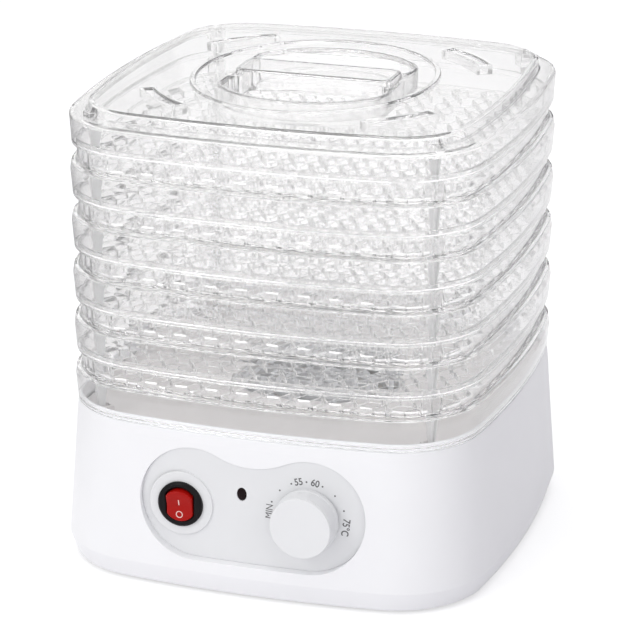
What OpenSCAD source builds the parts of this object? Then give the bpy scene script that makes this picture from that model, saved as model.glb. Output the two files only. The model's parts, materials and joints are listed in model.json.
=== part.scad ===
// Food dehydrator: a fan-and-heater base, five stacking see-through trays and a lid.
// Millimetres, Z up. The stack's axis is the Z axis and the feet stand on Z = 0.
// The control panel faces -Y.

/* [Stack] */
// Width and depth of the trays and the lid over their skirts
stack_w = 245; // [225:1:270]
// Radius of the upright corners
corner_r = 49; // [44:1:54]
// How far each side bulges out at its middle
side_bow = 4.4; // [3:0.2:6]
// Rise from one tray to the next
tray_pitch = 29.8; // [28:0.2:36]
// How far a skirt laps over the neck below it
lap = 4; // [3:0.5:5]
// Height of a tray's floor above the neck below it
floor_rise = 16; // [15:0.5:18]
// How far a neck is set in from the skirt
neck_inset = 4; // [3.5:0.25:5]
// Wall of the trays and the lid
clear_wall = 2; // [1.5:0.25:2.5]

/* [Tray floor] */
// Distance between the raised cells
cell_pitch = 17.7; // [16:0.1:20]
// Width of a raised cell over its rim
cell_w = 10.4; // [9:0.2:12]
// Width of the opening in a cell
cell_hole = 7.4; // [6:0.2:8]
// How far a cell stands above the ledge
cell_stand = 1.4; // [0.5:0.1:2]
// Depth of the floor's grid
grid_h = 5; // [4:0.5:6]

/* [Base] */
// Height of the collar that carries the lowest tray
base_h = 97.5; // [90:0.5:110]
// Widest part of the base, just above its chamfer
base_w = 254.4; // [240:0.2:290]
// Width of the base where the chamfer ends at the bottom
base_foot_w = 248; // [230:0.5:280]
// Height of the chamfer
chamfer_h = 11; // [8:0.5:14]
// Gap under the base that the feet leave
foot_gap = 2; // [1:0.5:4]
// Wall of the base
base_wall = 2.6; // [2:0.2:4]

/* [Controls] */
// Distance between the two round ends of the panel
panel_span = 66; // [60:1:72]
// Radius of the panel's ends
panel_r = 32; // [29:0.5:33]
// Height of the panel's middle
panel_z = 52; // [48:0.5:54]
// Radius of the switch's round bezel
bezel_r = 13; // [12:0.25:14]
// Angle that the rocker tips either way
rocker_tip = 8; // [6:0.5:10]
// Radius of the knob's face
knob_r = 17.3; // [16:0.1:19]
// How far the knob stands out of the panel
knob_reach = 15; // [12:0.5:18]

/* [Lid] */
// Height of the lid's ledge above the neck below it
lid_ledge = 13.5; // [12:0.5:16]
// Height of the lid's top above its ledge
lid_rise = 6; // [4:0.5:9]
// How far the step up to the lid's top is set in
step_inset = 10.5; // [8:0.5:12]
// Radius of the ring around the grip
grip_ring_r = 69; // [64:1:74]
// Depth of the finger wells
well_depth = 12.5; // [9:0.5:12.5]
// Width of the grip bar between the wells
grip_w = 28; // [22:1:32]
// How far the grip bar stands above the lid's top
grip_stand = 4; // [2:0.5:6]

/* [Fan and heater] */
// Radius of the fan
fan_r = 33; // [28:1:36]
// Radius of the fan motor
motor_r = 17; // [14:0.5:20]
// Radius of the heater's ring
heater_r = 42; // [38:1:44]
// Radius of the air outlet in the deck
outlet_r = 50; // [46:1:54]

/* [Hidden] */
tray_count = 5;
side_steps = 6;
corner_steps = 8;
$fn = 64;
gap = 0.3;
seam = 0.01;

stack_half = stack_w / 2;
base_half = base_w / 2;
shoulder_z = base_h - lap - gap;
shoulder_half = stack_half - 1;
collar_half = stack_half - clear_wall - 0.4;
chamfer_z = foot_gap + chamfer_h;
post_w = 7.6;
post_l = 12;
post_wall = 1.2;
socket_drop = 3.6;
socket_deep = 4;
leg_tip_w = 4.4;
leg_tip_drop = 7;
cells = 12;
lid_seat_z = base_h + tray_count * tray_pitch;
lid_top_z = lid_seat_z + lid_ledge + lid_rise;
vent_r = 94.5;
grip_r = 58;
grip_l = 92;

panel_half = stack_half - 1.1;
panel_t = 2.4;
panel_face_y = -panel_half;
switch_x = -39.2;
switch_z = panel_z - 0.9;
switch_pad_r = 18.4;
led_x = -3.9;
led_z = panel_z + 8.8;
knob_x = panel_span / 2 + 1.3;
knob_z = panel_z - 0.7;
knob_seat_r = 16.8;
shaft_r = 3;
rocker_r = bezel_r - 3.2;
rocker_w = 16;

gland_z = 24;
gland_seat_y = base_half - 2.2;

deck_z = base_h - 11;
deck_t = 2.4;
cover_z = foot_gap;
cover_t = 3;
cover_half = base_foot_w / 2 - base_wall - 1;
motor_z = 24;
motor_h = 20;
motor_shaft_r = 2;
fan_z = 52;
fan_h = 11;
heater_z = 69;
heater_h = 9;

clear = "#dfe8ee";
white = "#f4f4f6";
panel_grey = "#dcdde1";
steel = "#b9bcc0";

function turned(p, a) = [p.x * cos(a) - p.y * sin(a), p.x * sin(a) + p.y * cos(a)];

// A square with bowed sides and round corners: h is half its width at the middle
// of a side, r its corner radius before the bow, and b the bow.
function bowed_square(h, r, b = side_bow) =
    let (
        chord = h - r,
        side_r = (chord * chord + b * b) / (2 * b),
        turn = asin(chord / side_r),
        end_y = side_r - h - side_r * cos(turn),
        round_r = -(end_y + chord) / (cos(turn) - sin(turn)),
        round_at = chord - round_r * sin(turn)
    )
    [for (quarter = [0:3]) each [
        for (i = [0:side_steps - 1])
            let (a = turn * (2 * i / side_steps - 1))
            turned([side_r * sin(a), side_r - h - side_r * cos(a)], 90 * quarter),
        for (i = [0:corner_steps - 1])
            let (a = turn - 90 + (90 - 2 * turn) * i / corner_steps)
            turned([round_at + round_r * cos(a), round_r * sin(a) - round_at], 90 * quarter)
    ]];

// The stack's outline, set in by inset
function stack_outline(inset) = bowed_square(stack_half - inset, corner_r - inset);

module slab(inset, z0, z1)
    translate([0, 0, z0]) linear_extrude(z1 - z0) polygon(stack_outline(inset));

module band(outer_inset, inner_inset, z0, z1)
    translate([0, 0, z0]) linear_extrude(z1 - z0) difference() {
        polygon(stack_outline(outer_inset));
        polygon(stack_outline(inner_inset));
    }

// Corner radius of the base where it is h wide from its middle. It keeps to the
// stack's outline inside that, and opens more slowly where the wall flares past it.
function base_corner(h) = corner_r + (h - stack_half) * (h > stack_half ? 0.45 : 1);

// A closed shell swept round the base's outline. Each entry of profile is
// [half width, z], in order round the wall's cross-section, with the outside going up.
module swept_shell(profile) {
    rings = [for (p = profile) bowed_square(p[0], base_corner(p[0]))];
    n = len(rings[0]);
    m = len(profile);
    points = [for (i = [0:m - 1]) for (q = rings[i]) [q.x, q.y, profile[i][1]]];
    faces = [for (i = [0:m - 1]) for (j = [0:n - 1])
        let (
            a = i * n + j,
            b = i * n + (j + 1) % n,
            c = ((i + 1) % m) * n + (j + 1) % n,
            d = ((i + 1) % m) * n + j
        )
        each [[a, c, b], [a, d, c]]];
    polyhedron(points = points, faces = faces, convexity = 6);
}

module tube(r_out, r_in, h)
    difference() {
        cylinder(r = r_out, h = h);
        translate([0, 0, -1]) cylinder(r = r_in, h = h + 2);
    }

// Distance of the corner posts from the axis, so that they end at the neck's inner face
function post_out() =
    norm(stack_outline(neck_inset + clear_wall)[side_steps + corner_steps / 2]) - post_l / 2 + 0.2;

module at_corners()
    for (a = [45:90:315])
        rotate(a) translate([post_out(), 0, 0]) children();

// Places its children on the front wall at (x, z), with their +Z pointing out to -Y
module on_front(x, z, y = panel_face_y)
    translate([x, y, z]) rotate([90, 0, 0]) children();

// The panel's peanut outline: two round ends, a straight lower edge and a shallow
// dip between the ends along the top
module panel_outline(grow = 0) {
    dip_r = 46;
    dip_y = sqrt(pow(panel_r + dip_r, 2) - pow(panel_span / 2, 2));
    translate([1.5, panel_z]) difference() {
        union() {
            for (side = [-1, 1])
                translate([side * panel_span / 2, 0]) circle(r = panel_r + grow, $fn = 96);
            translate([-panel_span / 2, -panel_r - grow])
                square([panel_span, panel_r + grow + dip_y * panel_r / (panel_r + dip_r)]);
        }
        translate([0, dip_y]) circle(r = dip_r - grow, $fn = 96);
    }
}

module panel_prism(grow, y0, y1)
    translate([0, y1, 0]) rotate([90, 0, 0]) linear_extrude(y1 - y0) panel_outline(grow);

module base_housing()
    color(white) difference() {
        swept_shell([
            [base_foot_w / 2, foot_gap],
            [base_half, chamfer_z],
            [shoulder_half + 0.4, shoulder_z - 6],
            [shoulder_half - 0.4, shoulder_z],
            [collar_half, shoulder_z],
            [collar_half, base_h - 0.6],
            [collar_half - 0.6, base_h],
            [collar_half - base_wall, base_h],
            [collar_half - base_wall, shoulder_z - base_wall],
            [shoulder_half - base_wall, shoulder_z - base_wall - 4],
            [base_half - base_wall, chamfer_z + 1],
            [base_foot_w / 2 - base_wall - 0.5, foot_gap]
        ]);
        panel_prism(gap, -base_half - 5, -base_half + 14);
        translate([0, gland_seat_y - 10, gland_z]) rotate([-90, 0, 0]) cylinder(r = 6.2, h = 20);
        translate([0, gland_seat_y, gland_z]) rotate([-90, 0, 0]) cylinder(r = 8.8, h = 10);
    }

module deck()
    color("#e4e4e8") difference() {
        union() {
            slab(stack_half - collar_half + base_wall + 0.4, deck_z, deck_z + deck_t);
            translate([0, 0, deck_z - 12]) cylinder(r = outlet_r + 3, h = 12 + deck_t);
            at_corners() translate([-post_l / 2, -post_w / 2, deck_z])
                cube([post_l, post_w, base_h - socket_drop - deck_z]);
        }
        translate([0, 0, deck_z - 13]) cylinder(r = outlet_r, h = 30);
        at_corners() post_pocket(base_h - socket_drop);
    }

// The blind pocket in the top of a corner post
module post_pocket(top)
    translate([-post_l / 2 + post_wall, -post_w / 2 + post_wall, top - socket_deep])
        cube([post_l - 2 * post_wall, post_w - 2 * post_wall, socket_deep + 1]);

module air_grille()
    color("#d2d3d8") {
        for (r = [12:10:42]) translate([0, 0, deck_z - 2]) tube(r + 1.5, r - 1.5, 3);
        translate([0, 0, deck_z - 2]) tube(outlet_r - gap, outlet_r - 3, 3);
        for (a = [0:30:330]) rotate(a)
            translate([10.5, -1, deck_z - 2]) cube([outlet_r - 13, 2, 3]);
        translate([0, 0, deck_z - 2]) cylinder(r = 4, h = 3);
        for (a = [0:90:270]) rotate(a)
            translate([3, -1, deck_z - 2]) cube([9, 2, 3]);
    }

module bottom_cover()
    color("#ececef") difference() {
        union() {
            translate([0, 0, cover_z]) linear_extrude(cover_t)
                polygon(bowed_square(cover_half, base_corner(cover_half)));
            for (x = [-74, 74], y = [-62, 62])
                translate([x, y, cover_z]) cylinder(r = 5, h = 14);
        }
        for (ring = [0:2], a = [0:15:345])
            rotate(a + 7.5 * ring) translate([20 + 13 * ring, -1.25, 0]) cube([9, 2.5, 10]);
        for (x = [-74, 74], y = [-62, 62]) {
            translate([x, y, 0]) cylinder(r = 4.2, h = cover_z + 1.6);
            translate([x, y, 0]) cylinder(r = 1.8, h = 30);
        }
        for (x = [-86, 86], y = [-86, 86]) translate([x, y, 0]) cylinder(r = 7, h = 3.5);
    }

module foot(x, y)
    color("#3a3a3d") translate([x, y, 0]) {
        cylinder(r1 = 8, r2 = 8.6, h = cover_z - seam);
        cylinder(r = 6.9, h = 3.4);
    }

module cover_screw(x, y)
    color(steel) translate([x, y, 0]) {
        difference() {
            translate([0, 0, 1.9]) cylinder(r = 3.6, h = 1.7);
            translate([-0.5, -2.4, 1.5]) cube([1, 4.8, 1.2]);
            translate([-2.4, -0.5, 1.5]) cube([4.8, 1, 1.2]);
        }
        translate([0, 0, 3.5]) cylinder(r = 1.7, h = 11);
    }

module control_panel()
    color(panel_grey) difference() {
        union() {
            intersection() {
                translate([0, 0, 5]) linear_extrude(90) difference() {
                    polygon(bowed_square(panel_half, corner_r));
                    polygon(bowed_square(panel_half - panel_t, corner_r - panel_t));
                }
                panel_prism(0, -stack_half - 5, -80);
            }
            on_front(switch_x, switch_z) translate([0, 0, -2]) cylinder(r = switch_pad_r, h = 2.9);
            on_front(knob_x, knob_z) translate([0, 0, -2]) cylinder(r = knob_seat_r, h = 3.2);
        }
        on_front(switch_x, switch_z) translate([0, 0, -10]) cylinder(r = rocker_r + 1.8, h = 20);
        on_front(led_x, led_z) translate([0, 0, -10]) cylinder(r = 2.9, h = 20);
        on_front(knob_x, knob_z) translate([0, 0, -10]) cylinder(r = shaft_r + 0.4, h = 20);
    }

module switch_bezel()
    color("#1b1b1d") on_front(switch_x, switch_z) difference() {
        union() {
            translate([0, 0, 1]) cylinder(r = bezel_r, h = 1.2);
            translate([0, 0, 2.2]) cylinder(r1 = bezel_r, r2 = bezel_r - 1, h = 1);
            translate([0, 0, -17]) cylinder(r = rocker_r + 1.5, h = 18.2);
        }
        intersection() {
            translate([0, 0, -12]) cylinder(r = rocker_r + 0.8, h = 30);
            translate([-rocker_w / 2 - 0.4, -15, -12]) cube([rocker_w + 0.8, 30, 30]);
        }
    }

// Stored tipped to off. It turns about a pivot behind its face.
module switch_rocker()
    color("#c4201c") on_front(switch_x, switch_z) rotate([rocker_tip, 0, 0])
        difference() {
            intersection() {
                rotate([0, 90, 0]) cylinder(r = rocker_r + 0.1, h = rocker_w, center = true);
                translate([0, 0, -12]) cylinder(r = rocker_r, h = 24);
            }
            for (side = [-1, 1]) translate([0, 0, 3.6]) rotate([side * rocker_tip, 0, 0])
                translate([-9, side > 0 ? -seam : -20, 0]) cube([18, 20, 12]);
            translate([-9, -12, -12]) cube([18, 24, 6]);
        }

module indicator_lens()
    color("#4a1013") on_front(led_x, led_z) {
        translate([0, 0, -6]) cylinder(r = 2.7, h = 6.3);
        translate([0, 0, 0.2]) cylinder(r1 = 3.2, r2 = 2.6, h = 0.8);
    }

module thermostat_knob()
    color(white) on_front(knob_x, knob_z) difference() {
        union() {
            translate([0, 0, 1.7]) cylinder(r = knob_r + 0.6, h = 2.3);
            translate([0, 0, 4]) cylinder(r1 = knob_r + 0.5, r2 = knob_r, h = knob_reach - 5.2);
            translate([0, 0, knob_reach - 1.2]) cylinder(r1 = knob_r, r2 = knob_r - 1.2, h = 1.2);
        }
        difference() {
            translate([0, 0, 1]) cylinder(r = knob_r - 2, h = knob_reach - 3);
            cylinder(r = shaft_r + 2, h = knob_reach);
        }
        translate([0, 0, 1]) cylinder(r = shaft_r, h = knob_reach - 4);
    }

module thermostat_shaft()
    color(steel) on_front(knob_x, knob_z) translate([0, 0, -12]) cylinder(r = shaft_r, h = 21);

module thermostat_body()
    color("#c9b27a") on_front(knob_x, knob_z) difference() {
        union() {
            translate([-13, -15, -30]) cube([26, 30, 18]);
            translate([-17, -5, -13]) cube([34, 10, 1]);
            translate([0, 0, -12]) cylinder(r = 5.5, h = 8);
        }
        translate([0, 0, -18]) cylinder(r = shaft_r + 0.05, h = 20);
    }

module fan_motor()
    color("#8f9398") difference() {
        union() {
            translate([0, 0, motor_z]) cylinder(r = motor_r, h = motor_h);
            translate([0, 0, motor_z + motor_h - seam]) cylinder(r = 6, h = 3);
        }
        translate([0, 0, motor_z + 4]) cylinder(r = motor_shaft_r + 0.05, h = 30);
    }

module motor_bracket()
    color(steel) {
        translate([-48, -9, motor_z - 1.6]) cube([96, 18, 1.6]);
        for (side = [-1, 1]) {
            translate([side * 47.2 - 0.8, -9, cover_z + cover_t]) cube([1.6, 18, motor_z - 5]);
            translate([side * 52 - 5.6, -9, cover_z + cover_t]) cube([11.2, 18, 1.6]);
        }
    }

module motor_shaft()
    color("#d6d8db") translate([0, 0, motor_z + 5])
        cylinder(r = motor_shaft_r, h = fan_z + fan_h - motor_z - 5);

module fan_impeller()
    color("#3e4147") {
        difference() {
            translate([0, 0, fan_z]) cylinder(r = 8, h = fan_h - 1);
            translate([0, 0, fan_z - 1]) cylinder(r = motor_shaft_r, h = fan_h + 2);
        }
        for (a = [0:60:300]) rotate(a) translate([6, 0, fan_z + 4.5]) rotate([32, 0, 0])
            translate([0, -7, -0.7]) cube([fan_r - 6, 14, 1.4]);
    }

module heater_frame()
    color("#cfc9b8") {
        translate([0, 0, heater_z]) tube(heater_r, heater_r - 1.2, heater_h);
        for (a = [0, 90]) rotate(a) difference() {
            translate([-heater_r + 0.6, -0.6, heater_z]) cube([2 * heater_r - 1.2, 1.2, heater_h]);
            for (r = [16, 24, 32], side = [-1, 1])
                translate([side * r, 2, heater_z + heater_h / 2]) rotate([90, 0, 0])
                    cylinder(r = 2.4, h = 4);
        }
    }

module heater_coil()
    color("#a0744e") translate([0, 0, heater_z + heater_h / 2]) {
        for (r = [16, 24, 32]) rotate_extrude($fn = 96) translate([r, 0]) circle(r = 1.7, $fn = 24);
        for (r = [16, 24]) rotate(r * 2) translate([r, -0.8, -0.8]) cube([8, 1.6, 1.6]);
    }

module thermal_cutout()
    color("#d9d6cc") translate([28, 0, heater_z + heater_h]) {
        cylinder(r = 6, h = 5);
        translate([-3, -12, 5 - seam]) cube([6, 24, 1]);
    }

module cord_gland()
    color("#e9e9ec") translate([0, gland_seat_y, gland_z]) rotate([-90, 0, 0]) difference() {
        union() {
            translate([0, 0, -5]) cylinder(r = 6, h = 8);
            cylinder(r = 8.5, h = 2);
        }
        translate([0, 0, -6]) cylinder(r = 3.4, h = 20);
    }

// A leg under a corner, tapered to the tip that plugs into the post below
module leg(top)
    rotate([90, 0, 90]) translate([0, 0, -post_l / 2 + post_wall + gap])
        linear_extrude(post_l - 2 * (post_wall + gap)) polygon([
            [-post_w / 2, top],
            [-leg_tip_w / 2, -socket_drop],
            [-leg_tip_w / 2, -leg_tip_drop],
            [leg_tip_w / 2, -leg_tip_drop],
            [leg_tip_w / 2, -socket_drop],
            [post_w / 2, top]
        ]);

// The row of cells across the floor, leaving out those that the round corners cut
function cell_places() = [
    for (i = [0:cells - 1], j = [0:cells - 1])
        let (x = (i - (cells - 1) / 2) * cell_pitch, y = (j - (cells - 1) / 2) * cell_pitch)
        if (abs(x) + abs(y) < post_out() * sqrt(2) - 20) [x, y]
];

module tray_floor(level)
    color(clear) translate([0, 0, base_h + (level - 1) * tray_pitch]) {
        places = cell_places();
        difference() {
            slab(neck_inset + clear_wall, floor_rise - grid_h, floor_rise - grid_h + 2);
            for (p = places) translate([p.x, p.y, floor_rise - grid_h - 1])
                translate([-cell_hole / 2, -cell_hole / 2, 0]) cube([cell_hole, cell_hole, 4]);
            at_corners() translate([-post_l / 2, -post_w / 2, 0]) cube([post_l, post_w, 30]);
        }
        translate([0, 0, floor_rise - grid_h + 1]) linear_extrude(grid_h - 1 + cell_stand)
            difference() {
                for (p = places) translate(p) square(cell_w, center = true);
                for (p = places) translate(p) square(cell_hole, center = true);
            }
    }

module tray_wall(level)
    color(clear) translate([0, 0, base_h + (level - 1) * tray_pitch]) difference() {
        union() {
            band(0, clear_wall, -lap, floor_rise);
            band(clear_wall - seam, neck_inset + clear_wall, floor_rise - clear_wall, floor_rise);
            band(neck_inset, neck_inset + clear_wall, floor_rise - grid_h, tray_pitch);
            at_corners() {
                translate([-post_l / 2, -post_w / 2, floor_rise - grid_h])
                    cube([post_l, post_w, tray_pitch - socket_drop - floor_rise + grid_h]);
                leg(floor_rise - grid_h + seam);
            }
        }
        at_corners() post_pocket(tray_pitch - socket_drop);
    }

// Half-moon finger well on one side of the grip bar
module well_shape()
    intersection() {
        circle(r = grip_r, $fn = 96);
        translate([-grip_l / 2, grip_w / 2]) square([grip_l, grip_r]);
    }

// The area that the wells and the grip bar share
module grip_outline(grow)
    intersection() {
        circle(r = grip_r + grow, $fn = 96);
        square([grip_l + 2 * grow, 2 * grip_r + 20], center = true);
    }

module lid_rim()
    color(clear) translate([0, 0, lid_seat_z]) difference() {
        union() {
            band(0, clear_wall, -lap, lid_ledge);
            band(clear_wall - seam, step_inset + clear_wall, lid_ledge - clear_wall, lid_ledge);
            band(step_inset, step_inset + clear_wall, lid_ledge - clear_wall, lid_ledge + lid_rise);
            at_corners() {
                translate([-post_l / 2, -post_w / 2, lid_ledge - 5])
                    cube([post_l, post_w, 5 + 2.5]);
                leg(lid_ledge - 5 + seam);
            }
        }
        at_corners() post_pocket(lid_ledge + 2.5);
    }

module lid_top()
    color(clear) translate([0, 0, lid_top_z]) difference() {
        union() {
            slab(step_inset + clear_wall, -clear_wall, 0);
            translate([0, 0, -1]) tube(grip_ring_r, grip_ring_r - 3, 2.4);
            for (a = [45:90:315]) rotate(a - 13) translate([0, 0, -7])
                rotate_extrude(angle = 26) translate([vent_r - 2, 0]) square([9, 6]);
        }
        translate([0, 0, -20]) linear_extrude(40) grip_outline(clear_wall);
        for (a = [45:90:315]) rotate(a - 11.5) translate([0, 0, -20])
            rotate_extrude(angle = 23) translate([vent_r, 0]) square([5, 40]);
    }

module lid_grip()
    color(clear) translate([0, 0, lid_top_z]) difference() {
        union() {
            translate([0, 0, -well_depth - clear_wall])
                linear_extrude(well_depth + clear_wall) grip_outline(clear_wall);
            translate([-grip_l / 2, -grip_w / 2, -1]) cube([grip_l, grip_w, grip_stand + 1]);
        }
        for (side = [0, 180]) rotate(side) translate([0, 0, -well_depth])
            linear_extrude(40) well_shape();
        translate([-grip_l / 2 + 2, -grip_w / 2 + 2, -30])
            cube([grip_l - 4, grip_w - 4, 30 + grip_stand - 2]);
    }

base_housing();
deck();
air_grille();
bottom_cover();
foot(-86, -86);  // foot_1
foot(86, -86);  // foot_2
foot(86, 86);  // foot_3
foot(-86, 86);  // foot_4
cover_screw(-74, -62);  // cover_screw_1
cover_screw(74, -62);  // cover_screw_2
cover_screw(74, 62);  // cover_screw_3
cover_screw(-74, 62);  // cover_screw_4
control_panel();
switch_bezel();
switch_rocker();
indicator_lens();
thermostat_knob();
thermostat_shaft();
thermostat_body();
fan_motor();
motor_bracket();
motor_shaft();
fan_impeller();
heater_frame();
heater_coil();
thermal_cutout();
cord_gland();
tray_wall(1);  // tray_1_wall
tray_wall(2);  // tray_2_wall
tray_wall(3);  // tray_3_wall
tray_wall(4);  // tray_4_wall
tray_wall(5);  // tray_5_wall
tray_floor(1);  // tray_1_floor
tray_floor(2);  // tray_2_floor
tray_floor(3);  // tray_3_floor
tray_floor(4);  // tray_4_floor
tray_floor(5);  // tray_5_floor
lid_rim();
lid_top();
lid_grip();
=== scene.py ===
"""Food dehydrator: a white base with a control panel, five clear trays and a clear lid.

Shapes are worked out in millimetres in the frame's axes (+Z up, -Y out of the
control panel) and turned into metres as each mesh is made.
"""

import json
import math

import bmesh
import bpy
from mathutils import Matrix, Vector


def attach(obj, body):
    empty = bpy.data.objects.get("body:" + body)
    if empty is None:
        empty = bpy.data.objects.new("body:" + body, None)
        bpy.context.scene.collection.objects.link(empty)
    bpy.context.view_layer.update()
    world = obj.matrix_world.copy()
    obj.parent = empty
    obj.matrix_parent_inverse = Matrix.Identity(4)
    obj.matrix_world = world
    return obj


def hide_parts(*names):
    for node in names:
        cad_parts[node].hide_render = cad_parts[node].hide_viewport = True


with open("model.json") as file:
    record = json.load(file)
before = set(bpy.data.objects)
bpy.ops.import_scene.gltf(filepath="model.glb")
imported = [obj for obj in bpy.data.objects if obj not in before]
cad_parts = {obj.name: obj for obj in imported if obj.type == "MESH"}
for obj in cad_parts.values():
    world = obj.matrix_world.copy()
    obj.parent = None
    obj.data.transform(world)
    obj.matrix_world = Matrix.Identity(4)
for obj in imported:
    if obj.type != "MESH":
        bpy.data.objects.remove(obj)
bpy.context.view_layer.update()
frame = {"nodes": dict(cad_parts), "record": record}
scene = bpy.context.scene

MM = 0.001

# ---- sizes, in millimetres. Those that the CAD model has too are the same there, unless a
# ---- comment says otherwise

# the stack: the plan is a square with bowed sides, half wide at the middle of a side
STACK_HALF = 122.5
CORNER_R = 49
CORNER_STEPS = 22
SIDE_BOW = 4.4
TRAYS = 5
PITCH = 29.8
LAP = 4
FLOOR_RISE = 16
NECK_INSET = 4
WALL = 2
BEAD = 0.9
FLOOR_Z = FLOOR_RISE - 3.2
FLOOR_TOP = FLOOR_RISE + 0.6
POST_FOOT = FLOOR_Z - 0.5

# the floor's cells, and the posts and legs at the corners
CELLS = 12
CELL_PITCH = 17.7
CELL_FLAT = 7.4
CELL_WALL = 1.1
CELLS_INSET = 9
FLOOR_INSET = 5.2
POST_W = 7.6
POST_L = 12
POST_WALL = 1.2
SOCKET_DROP = 3.6
LEG_L = 6.6
LEG_W = 5
LEG_TIP_L = 4.2
LEG_TIP_W = 2.2
LEG_TIP_DROP = 7
LEG_WEB = 0.55
POST_BITE = 0.2
HAIR = 0.05

# the base; its collar is 0.9 mm slimmer than in CAD, to clear the bead on the first tray's skirt
BASE_H = 97.5
BASE_HALF = 127.2
BASE_FOOT_HALF = 124
CHAMFER_Z = 13
SHOULDER_Z = 93.2
WALL_TOP_HALF = STACK_HALF - 0.6
WALL_TOP_Z = SHOULDER_Z - 6
CORNER_FLARE = 0.45
COLLAR_HALF = 119.2
COLLAR_INNER_HALF = 117.5
BASE_WALL = 2.6
MOULD_BOTTOM = 2
GLAND_Y = 125
GLAND_Z = 24
GLAND_R = 6.2
GLAND_SEAT_R = 8.8

# the control panel, a peanut outline, and the places (x, z) of its controls
PANEL_HALF = 121.4
PANEL_T = 2.4
PANEL_X = 1.5
PANEL_Z = 52
PANEL_R = 32
PANEL_SPAN = 66
DIP_R = 46
MOUTH_GAP = 0.03
BACKING_GROW = 2.2
SWITCH_SEAT_R = 18.4
SWITCH_SEAT_H = 0.9
KNOB_SEAT_R = 16.8
KNOB_SEAT_H = 1.2
SWITCH = (-39.2, 51.1)
LED = (-3.9, 60.8)
KNOB = (34.3, 51.3)
LENS_SHAPE = Matrix.Diagonal((0.86, 1.17, 1, 1))
BEZEL_R = 13
ROCKER_R = 9.35
ROCKER_W = 15.2
ROCKER_TIP = math.radians(8)
KNOB_R = 17.3
KNOB_REACH = 15

# the dial's scale, printed on the panel
SCALE_MIDDLE = (33.4, 50.9)
SCALE_R = 21.5
TEXT_SIZE = 5.658
TEXT_WIDTH = 0.86
TEXT_BOLD = 0.08
DOT_R = 0.5
INK_T = 0.06
MARK_T = 0.12

# the lid; its round rib is an oval here, as in the photo, and a circle in CAD
LID_Z = BASE_H + TRAYS * PITCH
LID_LEDGE = 13.5
LID_TOP = 19.5
PAD_FOOT = LID_LEDGE - 5
STEP_INSET = 10.5
RING_R = 69
RING_STRETCH = 1.17
RING_SHIFT = -1.5
GRIP_R = 58
GRIP_HALF_L = 46
GRIP_HALF_W = 14
GRIP_TOP = LID_TOP + 4
WELL_Z = LID_TOP - 12.5
VENT_R = 94.5
VENT_W = 5
VENT_TURN = math.radians(11.5)


# ---- mesh helpers


def make(name, verts, faces):
    """A mesh object from points in millimetres, its normals turned outwards."""
    mesh = bpy.data.meshes.new(name)
    mesh.from_pydata([Vector(v) * MM for v in verts], [], faces)
    bm = bmesh.new()
    bm.from_mesh(mesh)
    bmesh.ops.recalc_face_normals(bm, faces=bm.faces)
    bm.to_mesh(mesh)
    bm.free()
    obj = bpy.data.objects.new(name, mesh)
    scene.collection.objects.link(obj)
    return obj


def loft(name, rings, closed=False):
    """A skin over rings of equal length: a closed loop of rings, or capped at both ends."""
    n, m = len(rings[0]), len(rings)
    faces = [
        (i * n + j, i * n + (j + 1) % n, (i + 1) % m * n + (j + 1) % n, (i + 1) % m * n + j)
        for i in range(m if closed else m - 1)
        for j in range(n)
    ]
    if not closed:
        faces += [tuple(range(n)), tuple(range((m - 1) * n, m * n))]
    return make(name, [p for ring in rings for p in ring], faces)


def rounded(corners, closed=True, steps=4):
    """The path through corners of (a, b, radius), each rounded as far as its sides leave room."""
    path = []
    last = len(corners) - 1
    for i, (a, b, radius) in enumerate(corners):
        here = Vector((a, b))
        if not radius or (not closed and i in (0, last)):
            path.append(here)
            continue
        before = Vector(corners[i - 1][:2]) - here
        after = Vector(corners[(i + 1) % len(corners)][:2]) - here
        u, v = before.normalized(), after.normalized()
        half = u.angle(v) / 2
        reach = min(radius / math.tan(half), 0.48 * before.length, 0.48 * after.length)
        radius = reach * math.tan(half)
        centre = here + (u + v).normalized() * radius / math.sin(half)
        start = (here + u * reach - centre).normalized()
        end = (here + v * reach - centre).normalized()
        path += [centre + start.slerp(end, k / steps) * radius for k in range(steps + 1)]
    return path


def bow_radius(chord):
    """The radius of a bowed side whose arc runs from -chord to chord."""
    return (chord**2 + SIDE_BOW**2) / (2 * SIDE_BOW)


def outline(half, corner, side_steps=14):
    """A square with bowed sides and round corners, half wide at the middle of a side."""
    chord = half - corner
    side_r = bow_radius(chord)
    turn = math.asin(chord / side_r)
    end = side_r - half - side_r * math.cos(turn)
    round_r = -(end + chord) / (math.cos(turn) - math.sin(turn))
    round_at = chord - round_r * math.sin(turn)
    quarter = []
    for i in range(side_steps):
        a = turn * (2 * i / side_steps - 1)
        quarter.append(Vector((side_r * math.sin(a), side_r - half - side_r * math.cos(a))))
    for i in range(CORNER_STEPS):
        a = turn - math.pi / 2 + (math.pi / 2 - 2 * turn) * i / CORNER_STEPS
        quarter.append(Vector((round_at + round_r * math.cos(a), round_r * math.sin(a) - round_at)))
    return [Matrix.Rotation(math.pi / 2 * q, 2) @ p for q in range(4) for p in quarter]


def front_y(half, corner, x):
    """Where the front side of that outline lies at x."""
    side_r = bow_radius(half - corner)
    return side_r - half - math.sqrt(side_r**2 - x**2)


def stack_outline(inset):
    """The stack's plan, set in by inset."""
    return outline(STACK_HALF - inset, CORNER_R - inset)


def base_corner(half):
    """The base's corner radius at a half width. Where the base flares, it grows by less."""
    return CORNER_R + (half - STACK_HALF) * (CORNER_FLARE if half > STACK_HALF else 1)


def ring_at(points, z):
    """Plan points raised to height z."""
    return [(p[0], p[1], z) for p in points]


def circle(r, z, steps):
    """Points round the Z axis."""
    angles = [math.tau * k / steps for k in range(steps)]
    return [(r * math.cos(a), r * math.sin(a), z) for a in angles]


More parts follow.
